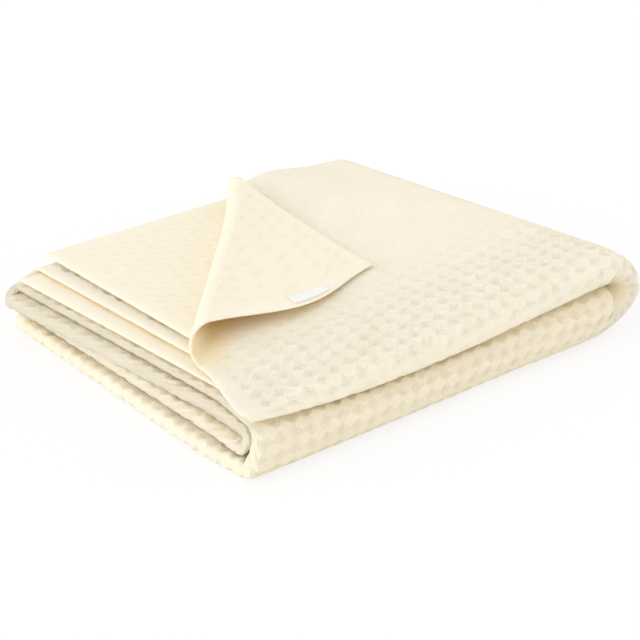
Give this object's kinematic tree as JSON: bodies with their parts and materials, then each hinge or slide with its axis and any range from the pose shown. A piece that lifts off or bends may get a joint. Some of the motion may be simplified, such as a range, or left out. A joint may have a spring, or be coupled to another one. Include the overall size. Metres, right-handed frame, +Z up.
{
  "type": "folded knitted baby blanket",
  "caption": "Cream knitted baby blanket folded into a thick flat stack, one corner of the top layer turned back.",
  "frame": {"origin": "on the ground, under the middle of the folded stack's box", "axes": "+X along the long side towards the bend on the right, +Y from the front fold to the back, +Z up"},
  "size_m": [0.3908, 0.309, 0.0834],
  "materials": {
    "knit": "soft matt cream knit with a raised honeycomb stitch",
    "label": "smooth white woven tape"
  },
  "bodies": {
    "root": {"blanket": "knit", "label": "label"}
  },
  "joints": []
}
